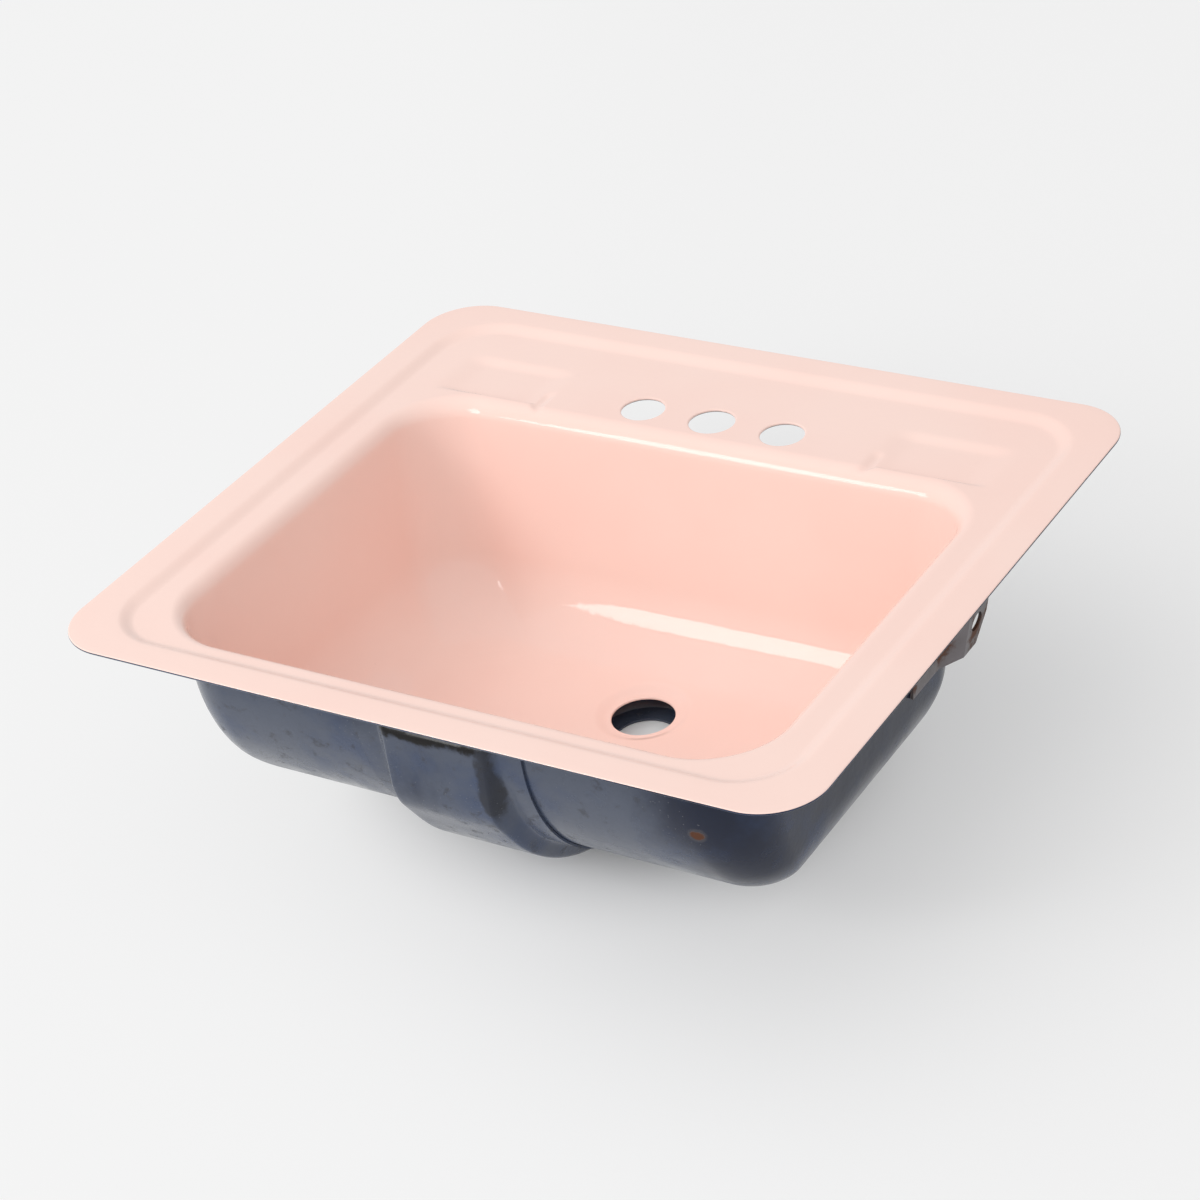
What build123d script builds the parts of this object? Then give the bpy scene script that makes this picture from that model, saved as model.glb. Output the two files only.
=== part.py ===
from build123d import *
import math
import os

# Pressed steel washbasin with a flat rim, a tap ledge and a welded overflow casing.
# Millimetres. X runs to the right, Y to the back, Z up.
# The origin lies under the middle of the rim, level with the underside of the overflow casing.

# Steel
sheet = 2.0
casing_sheet = 1.5
bracket_sheet = 2.0
weld_gap = 0.3
arc_sweep = math.radians(80)

# Rim and the lowered deck inside it
rim_width = 508.0
rim_length = 457.2
rim_corner = 38.1
rim_band_side = 20.5
rim_band_end = 18.0
step_run = 11.0
step_drop = 3.0
step_corner = 44.0

# Bowl, measured on its outside at the level of the rim
ledge_side = 50.3
ledge_front = 37.1
ledge_back = 116.1
bowl_side_reach = rim_width / 2 - ledge_side
bowl_front_reach = rim_length / 2 - ledge_front
bowl_back_reach = rim_length / 2 - ledge_back
bowl_depth = 150.0
side_draft = 0.085
front_draft = 0.0
back_draft = 0.17
side_floor_radius = 52.0
front_floor_radius = 123.0
back_floor_radius = 45.0
side_lip_radius = 11.5
front_lip_radius = 9.0
back_lip_radius = 13.0
front_corner_top = 52.0
front_corner_floor = 24.0
back_corner_top = 43.0
back_corner_floor = 48.0

# Waste outlet
drain_back = 17.3
drain_radius = 20.5
drain_seat_radius = 26.0
drain_seat_rim_radius = 32.0
drain_seat_drop = 3.5

# Tap ledge
tap_row_inset = 89.9
tap_row_back = rim_length / 2 - tap_row_inset
tap_pitch = 50.8
side_tap_radius = 14.3
middle_tap_radius = 15.0

# Soap dishes, one at each side of the taps
dish_inner_edge = 114.0
dish_end_inset = 50.5
dish_front_inset = 105.1
dish_length = rim_width / 2 - dish_end_inset - dish_inner_edge
dish_front = rim_length / 2 - dish_front_inset
dish_width = 45.5
dish_drop = 3.0
dish_slope = 5.0
dish_front_slope = 1.5
dish_corner = 9.0
spout_width = 13.0
spout_shift = 7.0
spout_reach = 18.0

# Overflow inlet holes in the front wall
inlet_radius = 6.0
inlet_pitch = 20.0
inlet_count = 3
inlet_depth = 44.0
inlet_cut_length = 16.0

# Overflow casing
casing_half_width = 41.0
casing_edge_radius = 6.5
casing_face_rise = 6.9
casing_face_reach = bowl_front_reach + casing_face_rise
casing_top_depth = 26.0
casing_face_bottom = 66.0
casing_bend_radius = 40.0
casing_bend_angle = 35.0
casing_slope_length = 21.0
casing_depth = 170.0
casing_flange = 16.0
flange_top_depth = 17.0

# Side brackets: a foot on the wall, a slanting web and a tab with a round hole
bracket_low_depth = 87.0
bracket_height = 36.0
bracket_foot_front = 10.0
bracket_crank_front = 45.0
bracket_crank_back = 61.5
bracket_stand_off = 10.0
bracket_tab_tilt = math.radians(12)
bracket_tab_length = 26.0
bracket_tab_cut = 9.0
bracket_hole_run = 12.0
bracket_hole_rise = 19.5
bracket_hole_back = bracket_crank_back + bracket_hole_run
bracket_hole_depth = bracket_low_depth - bracket_hole_rise
bracket_hole_radius = 6.5

rim_height = casing_depth
deck_depth = step_drop
split_depth = deck_depth + dish_drop + 2 * sheet


def level(depth):
    """Height of a plane that lies so deep under the top of the rim."""
    return rim_height - depth


def wall_reach(depth, reach, draft, floor_radius, lip, grow):
    """Distance of one wall from the origin: a drafted line, a lip arc above and a floor arc below."""
    lip_centre = deck_depth + lip * math.sin(arc_sweep)
    lip_here = lip - sheet - grow
    floor_centre = bowl_depth - floor_radius * math.sin(arc_sweep)
    floor_here = floor_radius + grow
    inset = draft * depth
    if depth > floor_centre:
        fall = min(depth - floor_centre, floor_here)
        inset += floor_here - math.sqrt(floor_here**2 - fall**2)
    flare = 0.0
    if depth < lip_centre:
        rise = min(lip_centre - depth, lip_here)
        flare = lip_here - math.sqrt(lip_here**2 - rise**2)
    return reach + grow - inset + flare, flare


def rounded_outline(left, right, front, back, front_corner, back_corner, z):
    """Closed outline with its own corner radius in front and at the back."""
    corner = 1 - math.sqrt(0.5)
    lines = [
        Line((left + front_corner, front, z), (right - front_corner, front, z)),
        ThreePointArc(
            (right - front_corner, front, z),
            (right - corner * front_corner, front + corner * front_corner, z),
            (right, front + front_corner, z),
        ),
        Line((right, front + front_corner, z), (right, back - back_corner, z)),
        ThreePointArc(
            (right, back - back_corner, z),
            (right - corner * back_corner, back - corner * back_corner, z),
            (right - back_corner, back, z),
        ),
        Line((right - back_corner, back, z), (left + back_corner, back, z)),
        ThreePointArc(
            (left + back_corner, back, z),
            (left + corner * back_corner, back - corner * back_corner, z),
            (left, back - back_corner, z),
        ),
        Line((left, back - back_corner, z), (left, front + front_corner, z)),
        ThreePointArc(
            (left, front + front_corner, z),
            (left + corner * front_corner, front + corner * front_corner, z),
            (left + front_corner, front, z),
        ),
    ]
    return make_face(lines)


def bowl_outline(depth, grow):
    """Level cut through the bowl, on its outer skin or on a skin grown outwards from it."""
    side, side_flare = wall_reach(
        depth, bowl_side_reach, side_draft, side_floor_radius, side_lip_radius, grow)
    front, front_flare = wall_reach(
        depth, bowl_front_reach, front_draft, front_floor_radius, front_lip_radius, grow)
    back, back_flare = wall_reach(
        depth, bowl_back_reach, back_draft, back_floor_radius, back_lip_radius, grow)
    share = depth / bowl_depth
    front_corner = front_corner_top + (front_corner_floor - front_corner_top) * share
    back_corner = back_corner_top + (back_corner_floor - back_corner_top) * share
    return rounded_outline(
        -side, side, -front, back,
        front_corner + grow + (side_flare + front_flare) / 2,
        back_corner + grow + (side_flare + back_flare) / 2,
        level(depth),
    )


def bowl_solid(grow):
    """The bowl as a filled body, lofted through level cuts that crowd together at lip and floor."""
    top = deck_depth + sheet + grow
    lip_end = deck_depth + back_lip_radius
    floor_level = bowl_depth + grow
    depths = [top + (lip_end - top) * (step / 6) ** 2 for step in range(7)]
    depths += [floor_level - (floor_level - lip_end) * (1 - step / 9) ** 2 for step in range(1, 10)]
    return loft([bowl_outline(depth, grow) for depth in depths])


def step_outline(inset, depth):
    """Outline of the step between rim band and deck, so far inside its top edge."""
    side = rim_width / 2 - rim_band_side - inset
    end = rim_length / 2 - rim_band_end - inset
    corner = step_corner - inset
    return rounded_outline(-side, side, -end, end, corner, corner, level(depth))


def step_solid(top_depth):
    """The sunk deck as a filled body with an S-shaped edge, its top at the given depth."""
    stages = [0.0, 0.25, 0.5, 0.75, 1.0]
    return loft([
        step_outline(step_run * stage, top_depth + step_drop * stage**2 * (3 - 2 * stage))
        for stage in stages
    ])


def dish_solid(side, top_depth, drop):
    """One soap dish as a filled body: flared sides, a steep front and a flat floor."""
    near = dish_inner_edge
    far = dish_inner_edge + dish_length
    back = dish_front + dish_width

    def outline(inset, front_inset, corner, depth):
        left, right = sorted((side * (near + inset), side * (far - inset)))
        return rounded_outline(
            left, right, dish_front + front_inset, back - inset, corner, corner, level(depth))

    top = outline(0, 0, dish_corner, top_depth)
    floor = outline(dish_slope, dish_front_slope, dish_corner - dish_front_slope, top_depth + drop)
    return loft([top, floor], ruled=True)


def spout_solid(side, margin, top_depth, bottom_depth):
    """Slanting groove that lets a soap dish run off into the bowl over the back lip."""
    back = dish_front + dish_corner
    near = dish_inner_edge + dish_front_slope - margin
    far = near + spout_width + 2 * margin
    plan = make_face(Polyline(
        (side * near, back, level(bottom_depth)),
        (side * far, back, level(bottom_depth)),
        (side * far, dish_front, level(bottom_depth)),
        (side * (far - spout_shift), dish_front - spout_reach, level(bottom_depth)),
        (side * (near - spout_shift), dish_front - spout_reach, level(bottom_depth)),
        (side * near, dish_front, level(bottom_depth)),
        close=True,
    ))
    return extrude(plan, amount=bottom_depth - top_depth, dir=(0, 0, 1))


def disc(x, y, radius, top_depth, bottom_depth):
    """Upright round bar between two depths."""
    middle = (level(top_depth) + level(bottom_depth)) / 2
    return Pos(x, y, middle) * Cylinder(radius, bottom_depth - top_depth)


def drain_seat(skin, top_depth):
    """Dished seat round the waste outlet, as a filled frustum."""
    seat_depth = bowl_depth - sheet + drain_seat_drop + skin
    profile = make_face(Polyline(
        (0, level(top_depth)),
        (drain_seat_rim_radius + skin, level(top_depth)),
        (drain_seat_rim_radius + skin, level(seat_depth - drain_seat_drop)),
        (drain_seat_radius + skin, level(seat_depth)),
        (0, level(seat_depth)),
        close=True,
    ))
    return Pos(0, drain_back, 0) * revolve(Plane.XZ * profile, Axis.Z)


def tap_holes():
    """The three tap holes: place across and radius."""
    return [(-tap_pitch, side_tap_radius), (0.0, middle_tap_radius), (tap_pitch, side_tap_radius)]


def basin_shell():
    """The pan, drawn from one sheet: rim, step, deck, dishes, bowl and outlet."""
    dish_floor = deck_depth + dish_drop
    plate = rounded_outline(
        -rim_width / 2, rim_width / 2, -rim_length / 2, rim_length / 2,
        rim_corner, rim_corner, level(sheet))
    shell = extrude(plate, amount=sheet, dir=(0, 0, 1))
    shell += step_solid(sheet)
    shell -= step_solid(0.0)
    for side in (-1, 1):
        shell += dish_solid(side, deck_depth + sheet, dish_drop)
        shell += spout_solid(side, sheet, deck_depth + sheet, dish_floor + sheet)
    shell += bowl_solid(0.0)
    shell += drain_seat(sheet, bowl_depth - sheet)
    shell -= bowl_solid(-sheet)
    shell -= drain_seat(0.0, bowl_depth - 2 * sheet - drain_seat_drop)
    for side in (-1, 1):
        shell -= dish_solid(side, deck_depth, dish_drop)
        shell -= spout_solid(side, 0.0, 0.0, dish_floor)
    shell -= disc(0, drain_back, drain_radius, bowl_depth - side_floor_radius, casing_depth)
    for across, radius in tap_holes():
        shell -= disc(across, tap_row_back, radius, 0.0, deck_depth + 2 * sheet)
    for number in range(inlet_count):
        across = (number - (inlet_count - 1) / 2) * inlet_pitch
        bar = Rot(90, 0, 0) * Cylinder(inlet_radius, inlet_cut_length)
        shell -= Pos(across, -bowl_front_reach, level(inlet_depth)) * bar
    return shell


def casing_profile(skin):
    """Side view of the casing as a filled face, its outer line drawn in by the skin."""
    face = -(casing_face_reach - skin)
    top = level(casing_top_depth + skin)
    floor = level(casing_depth - skin)
    inner = -(bowl_front_reach - casing_flange)
    back = drain_back + casing_half_width
    heel = level(bowl_depth - casing_flange)
    angle = math.radians(casing_bend_angle)
    bend = casing_bend_radius - skin
    bend_top = (face, level(casing_face_bottom))

    def on_bend(turn):
        return (
            face + bend * (1 - math.cos(turn)),
            bend_top[1] - bend * math.sin(turn),
        )

    bend_foot = on_bend(angle)
    slope_foot = (
        bend_foot[0] + casing_slope_length * math.sin(angle),
        bend_foot[1] - casing_slope_length * math.cos(angle),
    )
    sweep = (slope_foot[1] - floor) / (1 - math.sin(angle))
    centre = (slope_foot[0] + sweep * math.cos(angle), floor + sweep)
    half_way = (angle + math.pi / 2) / 2
    sweep_middle = (
        centre[0] - sweep * math.cos(half_way),
        centre[1] - sweep * math.sin(half_way),
    )
    return make_face([
        Line((inner, top), (face, top)),
        Line((face, top), bend_top),
        ThreePointArc(bend_top, on_bend(angle / 2), bend_foot),
        Line(bend_foot, slope_foot),
        ThreePointArc(slope_foot, sweep_middle, (centre[0], floor)),
        Line((centre[0], floor), (back, floor)),
        Line((back, floor), (back, heel)),
        Line((back, heel), (inner, top)),
    ])


def casing_plan(half_width):
    """Upright body that gives the casing its width and its round end about the outlet."""
    front = -rim_length / 2
    bar = Pos(0, (front + drain_back) / 2, rim_height / 2) * Box(
        2 * half_width, drain_back - front, rim_height)
    return bar + Pos(0, drain_back, rim_height / 2) * Cylinder(half_width, rim_height)


def outline_edges(block, skin):
    """Edges where the casing's outer line meets its flanks, its top and its round end."""
    face = -(casing_face_reach - skin)
    top = level(casing_top_depth + skin)
    chosen = []
    for edge in block.edges():
        middle = edge.center()
        across = edge.bounding_box().size.X
        outside = middle.Y < -(bowl_front_reach - casing_flange) - skin or middle.Z < level(bowl_depth)
        top_edge = middle.Z > top - skin - weld_gap and middle.Y < face + weld_gap
        if outside and (across < weld_gap or top_edge or middle.Y > drain_back + weld_gap):
            chosen.append(edge)
    return chosen


def casing_block(skin):
    """The casing as a filled body with rounded outer edges, drawn in by the skin."""
    profile = Plane.YZ * casing_profile(skin)
    block = extrude(profile, amount=casing_half_width, both=True)
    block &= casing_plan(casing_half_width - skin)
    return fillet(outline_edges(block, skin), casing_edge_radius - skin)


def overflow_casing():
    """Pressed channel from the overflow holes down to the outlet, with a flange on the bowl."""
    cavity = casing_block(casing_sheet)
    flange_height = level(flange_top_depth)
    flange_plan = casing_plan(casing_half_width + casing_flange)
    flange_plan &= Pos(0, 0, flange_height / 2) * Box(rim_width, rim_length, flange_height)
    flange = bowl_solid(weld_gap + casing_sheet) & flange_plan
    casing = casing_block(0.0) + flange
    casing -= cavity
    casing -= bowl_solid(weld_gap)
    casing -= drain_seat(sheet + weld_gap, bowl_depth - sheet)
    return casing - disc(0, drain_back, drain_radius, bowl_depth, casing_depth + casing_sheet)


def bracket_point(on_tab, back, depth):
    """Point of the bracket's middle sheet, on the wall's own slope or on the tilted tab."""
    wall = bowl_side_reach - side_draft * depth + weld_gap + bracket_sheet / 2
    if not on_tab:
        return Vector(wall, back, level(depth))
    foot = bowl_side_reach - side_draft * bracket_low_depth + bracket_stand_off
    lean = (bracket_low_depth - depth) * math.tan(bracket_tab_tilt)
    return Vector(foot + lean, back, level(depth))


def bracket_plate(corners):
    """Flat plate of bracket sheet whose middle plane runs through the corners."""
    return extrude(make_face(Polyline(*corners, close=True)), amount=bracket_sheet / 2, both=True)


def bracket_bend(low, high):
    """Round bar that fills the outside of a bend along a fold line."""
    return Plane(origin=(low + high) / 2, z_dir=high - low) * Cylinder(
        bracket_sheet / 2, (high - low).length)


def side_bracket(side):
    """Cranked strap on a side wall: welded foot, slanting web and free tab with a round hole."""
    low = bracket_low_depth
    high = bracket_low_depth - bracket_height
    wall_low = bracket_point(False, bracket_crank_front, low)
    tab_low = bracket_point(True, bracket_crank_back, low)
    tab_high = bracket_point(True, bracket_crank_back, high)
    slope = (tab_low.Y - wall_low.Y) / (tab_low.X - wall_low.X)
    run = tab_high.X - bracket_point(False, 0, high).X
    wall_high = bracket_point(False, bracket_crank_back - slope * run, high)
    end = bracket_crank_back + bracket_tab_length
    foot = bracket_plate([
        bracket_point(False, bracket_foot_front, low), wall_low,
        wall_high, bracket_point(False, bracket_foot_front, high),
    ])
    web = bracket_plate([wall_low, tab_low, tab_high, wall_high])
    tab = bracket_plate([
        tab_low,
        bracket_point(True, end - bracket_tab_cut, low),
        bracket_point(True, end, bracket_hole_depth),
        bracket_point(True, end, high),
        tab_high,
    ])
    hole_middle = bracket_point(True, bracket_hole_back, bracket_hole_depth)
    across = Plane(origin=hole_middle, z_dir=(math.cos(bracket_tab_tilt), 0, -math.sin(bracket_tab_tilt)))
    strap = foot + bracket_bend(wall_low, wall_high) + web + bracket_bend(tab_low, tab_high) + tab
    strap -= across * Cylinder(bracket_hole_radius, 4 * bracket_sheet)
    return strap if side > 0 else mirror(strap, about=Plane.YZ)


def above_split():
    """Block that holds all of the pan above the level between its rim and its bowl."""
    return Pos(0, 0, level(split_depth / 2)) * Box(2 * rim_width, 2 * rim_length, split_depth)


pan = basin_shell()
pieces = {
    "rim_and_ledge": pan & above_split(),
    "bowl": pan - above_split(),
    "overflow_casing": overflow_casing(),
    "bracket_right": side_bracket(1),
    "bracket_left": side_bracket(-1),
}

os.makedirs("parts", exist_ok=True)
for name, piece in pieces.items():
    export_step(piece, f"parts/{name}.step")
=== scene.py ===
import math
import bpy
import numpy as np
from mathutils import Matrix, Vector


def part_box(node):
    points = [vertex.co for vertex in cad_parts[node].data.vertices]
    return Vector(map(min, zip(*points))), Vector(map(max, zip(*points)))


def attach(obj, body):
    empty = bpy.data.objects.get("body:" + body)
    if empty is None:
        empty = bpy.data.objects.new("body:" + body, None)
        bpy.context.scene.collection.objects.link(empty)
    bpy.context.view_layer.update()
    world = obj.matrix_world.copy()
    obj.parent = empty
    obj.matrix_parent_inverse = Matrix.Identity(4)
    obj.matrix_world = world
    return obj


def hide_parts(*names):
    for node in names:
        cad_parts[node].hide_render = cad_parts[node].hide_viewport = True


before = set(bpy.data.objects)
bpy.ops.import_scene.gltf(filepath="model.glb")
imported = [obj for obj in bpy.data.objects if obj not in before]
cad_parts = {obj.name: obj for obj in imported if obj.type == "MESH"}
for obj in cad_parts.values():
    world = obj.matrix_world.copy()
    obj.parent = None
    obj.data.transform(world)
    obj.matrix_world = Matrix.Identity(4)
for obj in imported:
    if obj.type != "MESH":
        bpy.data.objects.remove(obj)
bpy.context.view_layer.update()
RIM_HALF_WIDTH, RIM_HALF_LENGTH, RIM_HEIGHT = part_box("rim_and_ledge")[1]

bl_info = {
    "name": "Enamelled washbasin",
    "version": (1, 0, 0),
    "blender": (4, 5, 0),
    "location": "View3D > Sidebar > Washbasin",
    "description": "Builds a vintage enamelled steel washbasin around its packed solids",
    "category": "Add Mesh",
}


def length(name, metres, description):
    """A length property, in metres."""
    return bpy.props.FloatProperty(
        name=name, description=description, default=metres, unit="LENGTH")


def ratio(name, value, description):
    """A plain number property."""
    return bpy.props.FloatProperty(name=name, description=description, default=value)


def colour(name, value, description):
    """A colour property, in scene linear values."""
    return bpy.props.FloatVectorProperty(
        name=name, description=description, default=value,
        subtype="COLOR", size=3, min=0.0, max=1.0)


class RimSizes(bpy.types.PropertyGroup):
    """Sizes of the rim, the step inside it and the tap ledge."""
    sheet: length("Sheet", 0.002, "Thickness of the enamelled steel")
    corner: length("Rim corner", 0.0381, "Corner radius of the rim")
    band_side: length("Side band", 0.0205, "Width of the flat band at the sides")
    band_end: length("End band", 0.018, "Width of the flat band in front and at the back")
    step_side: length("Side step", 0.011, "Run of the step down to the ledge at the sides")
    step_front: length("Front step", 0.009, "Run of the step in front")
    step_back: length("Back step", 0.013, "Run of the step at the back")
    step_drop: length("Step drop", 0.003, "How far the ledge lies under the rim")
    step_corner: length("Step corner", 0.044, "Corner radius of the step's top line")
    tap_row: length("Tap row", 0.1387, "Distance of the tap holes behind the middle")
    tap_pitch: length("Tap pitch", 0.0508, "Distance from hole to hole")
    tap_radius: length("Side tap hole", 0.0143, "Radius of the two outer holes")
    middle_radius: length("Middle tap hole", 0.015, "Radius of the middle hole")


class BowlSizes(bpy.types.PropertyGroup):
    """Sizes of the bowl, taken on its outside and at the level of the rim."""
    side: length("Side reach", 0.2037, "Half width of the bowl")
    front: length("Front reach", 0.1915, "Distance of the front wall from the middle")
    back: length("Back reach", 0.1125, "Distance of the back wall from the middle")
    depth: length("Depth", 0.150, "Depth of the bowl's underside below the rim")
    side_draft: ratio("Side draft", 0.085, "Slope of the side walls")
    back_draft: ratio("Back draft", 0.17, "Slope of the back wall")
    side_floor: length("Side floor radius", 0.052, "Radius between side wall and floor")
    front_floor: length("Front floor radius", 0.123, "Radius between front wall and floor")
    back_floor: length("Back floor radius", 0.045, "Radius between back wall and floor")
    side_lip: length("Side lip", 0.0095, "Radius of the lip at the sides")
    front_lip: length("Front lip", 0.0075, "Radius of the lip in front")
    back_lip: length("Back lip", 0.011, "Radius of the lip at the back")
    front_corner_top: length("Front corner, top", 0.052, "Corner radius in front, at the rim")
    front_corner_floor: length("Front corner, floor", 0.024, "Corner radius in front, at the floor")
    back_corner_top: length("Back corner, top", 0.043, "Corner radius at the back, at the rim")
    back_corner_floor: length(
        "Back corner, floor", 0.048, "Corner radius at the back, at the floor")
    dishing: length("Dishing", 0.009, "How far in from its edge the floor still falls")
    drain_back: length("Outlet", 0.0173, "Distance of the outlet behind the middle")
    drain_radius: length("Outlet radius", 0.0205, "Radius of the outlet hole")
    seat_rim: length("Seat rim", 0.0325, "Radius where the sunk seat starts")
    seat_flat: length("Seat flat", 0.0225, "Radius where the sunk seat is flat")
    seat_depth: length("Seat depth", 0.1522, "Depth of the seat below the rim")
    inlet_depth: length("Overflow holes", 0.044, "Depth of the three overflow holes below the rim")
    inlet_pitch: length("Overflow pitch", 0.020, "Distance from overflow hole to overflow hole")
    inlet_radius: length("Overflow radius", 0.006, "Radius of the overflow holes")


class DishSizes(bpy.types.PropertyGroup):
    """Sizes of the two soap dishes in the ledge."""
    near: length("Inner end", 0.114, "Distance of the dish's inner end from the middle")
    far: length("Outer end", 0.2035, "Distance of the dish's outer end from the middle")
    front: length("Front line", 0.121, "Place of the steep front wall")
    back: length("Back line", 0.169, "Place of the soft back wall")
    drop: length("Drop", 0.0021, "Depth of the dish in the ledge")
    slope: length("Back slope", 0.011, "Run of the soft back wall")
    end_slope: length("End slope", 0.022, "Run of the soft walls at both ends")
    front_slope: length("Front slope", 0.0022, "Run of the steep front wall")
    spout: length("Spout width", 0.0135, "Width of the run-off into the bowl")
    spout_share: ratio("Spout depth", 0.75, "Depth of the run-off as a share of the drop")
    spout_slant: ratio("Spout slant", 0.5, "How far the run-off leans inwards on its way")


class CasingSizes(bpy.types.PropertyGroup):
    """Sizes of the overflow casing."""
    sheet: length("Sheet", 0.0015, "Thickness of the casing")
    gap: length("Gap", 0.0003, "Space between flange and bowl")
    half_face: length("Half face", 0.0330, "Half width of the raised face")
    half_root: length("Half root", 0.0420, "Half width where the flank meets the flange")
    half_flange: length("Half flange", 0.0570, "Half width over the flanges")
    top: length("Top", 0.017, "Depth of the flange's top end below the rim")
    rise_start: length("Rise start", 0.0245, "Depth where the face starts to rise")
    rise_end: length("Rise end", 0.0320, "Depth where the face is fully raised")
    face_reach: length("Face reach", 0.1984, "Distance of the raised face from the middle")
    bend_start: length("Bend start", 0.066, "Depth where the face starts to bend back")
    bend_radius: length("Bend radius", 0.040, "Radius of that bend")
    slope_run: length("Slope", 0.021, "Length of the straight slope under the bend")
    hole_radius: length("Hole radius", 0.0205, "Radius of the hole for the waste")


class Finish(bpy.types.PropertyGroup):
    """Colours of the enamel, the ground coat, the steel and the stage."""
    enamel: colour("Enamel", (0.955, 0.690, 0.615), "Pink top enamel")
    enamel_pale: colour("Pale enamel", (0.960, 0.715, 0.640), "Paler patches of the enamel")
    ground: colour("Ground coat", (0.009, 0.014, 0.034), "Dark blue coat of the outside")
    ground_pale: colour("Worn ground coat", (0.080, 0.094, 0.130), "Greyer patches of the coat")
    ground_blue: colour("Blue ground coat", (0.024, 0.048, 0.120), "Blue patches of the coat")
    rust: colour("Rust", (0.105, 0.042, 0.022), "Rust where the coat is chipped")
    steel: colour("Steel", (0.150, 0.137, 0.137), "Scaled steel of the brackets")
    floor: colour("Floor", (0.900, 0.900, 0.900), "Floor and backdrop")


def smooth(t):
    """Eased step: 3 t squared minus 2 t cubed, with t held between 0 and 1."""
    t = np.clip(t, 0.0, 1.0)
    return t * t * (3 - 2 * t)


def arc_inset(fall, radius):
    """How far an arc has turned in after it fell so far: its radius minus the root of the
    radius squared minus the fall squared."""
    fall = np.clip(fall, 0.0, radius)
    return radius - np.sqrt(radius**2 - fall**2)


class Outline:
    """Level outlines, one per ring: rounded rectangles with one corner radius in front and
    another one at the back."""

    def __init__(self, side, front, back, front_corner, back_corner, height):
        values = np.broadcast_arrays(*(np.atleast_1d(np.asarray(v, float)) for v in (
            side, front, back, front_corner, back_corner, height)))
        self.side, self.front, self.back, self.front_corner, self.back_corner, self.height = values

    def joined(self, other):
        """These outlines followed by the other ones."""
        pairs = zip(self.values(), other.values())
        return Outline(*(np.concatenate(pair) for pair in pairs))

    def values(self):
        """The six values, in the order in which an outline takes them."""
        return (self.side, self.front, self.back, self.front_corner, self.back_corner, self.height)

    def at(self, index):
        """One of the outlines."""
        return Outline(*(value[index] for value in self.values()))

    def towards(self, other, share):
        """Outlines between this one and another: each value goes straight from one to the other."""
        share = np.asarray(share, float)
        return Outline(*(a + (b - a) * share for a, b in zip(self.values(), other.values())))


# Points of a ring along its straight sides and round each of its corners.
BACK_STEPS = 240
FRONT_STEPS = 160
SIDE_STEPS = 44
CORNER_STEPS = 28

# Rings are counted from the rim's edge. The first of these lies on the flat ledge, and the
# holes of the bowl are all further in than the second.
LEDGE_RING = 30
BOWL_RING = 60

# The arc between a wall and the floor turns this far, and the floor goes on with the rest.
FLOOR_SWEEP = math.radians(80)
FLOOR_SLOPE = math.tan(math.radians(10))

# A hole's edge is rounded in this many rings.
EDGE_STEPS = 8

# The casing's face leaves its bend on this slope, measured from straight down.
CASING_SLOPE = math.radians(35)

# Points of the keel down the front wall, and from there along the floor.
KEEL_WALL = 300
KEEL_FLOOR = 120

# Steps round the casing's end, half a turn about the outlet.
CASING_TURN_STEPS = 50


def ring_points(outline):
    """Points on every outline, counter-clockwise from the back right: straight runs are cut
    evenly, corners are cut by equal angles. The result is rings by points by three."""
    def straight(start, end, steps):
        share = np.arange(steps) / steps
        start = np.stack(start, -1)[:, None]
        end = np.stack(end, -1)[:, None]
        return start + (end - start) * share[None, :, None]

    def corner(centre, radius, first_angle):
        angle = math.radians(first_angle) + np.arange(CORNER_STEPS) / CORNER_STEPS * math.pi / 2
        turn = np.stack([np.cos(angle), np.sin(angle)], -1)
        return np.stack(centre, -1)[:, None] + radius[:, None, None] * turn[None]

    o = outline
    inner_back = o.back - o.back_corner
    inner_front = -o.front + o.front_corner
    wide_back = o.side - o.back_corner
    wide_front = o.side - o.front_corner
    plan = np.concatenate([
        straight((wide_back, o.back), (-wide_back, o.back), BACK_STEPS),
        corner((-wide_back, inner_back), o.back_corner, 90),
        straight((-o.side, inner_back), (-o.side, inner_front), SIDE_STEPS),
        corner((-wide_front, inner_front), o.front_corner, 180),
        straight((-wide_front, -o.front), (wide_front, -o.front), FRONT_STEPS),
        corner((wide_front, inner_front), o.front_corner, 270),
        straight((o.side, inner_front), (o.side, inner_back), SIDE_STEPS),
        corner((wide_back, inner_back), o.back_corner, 0),
    ], axis=1)
    height = np.broadcast_to(o.height[:, None, None], plan.shape[:2] + (1,))
    return np.concatenate([plan, height], axis=2)


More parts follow.
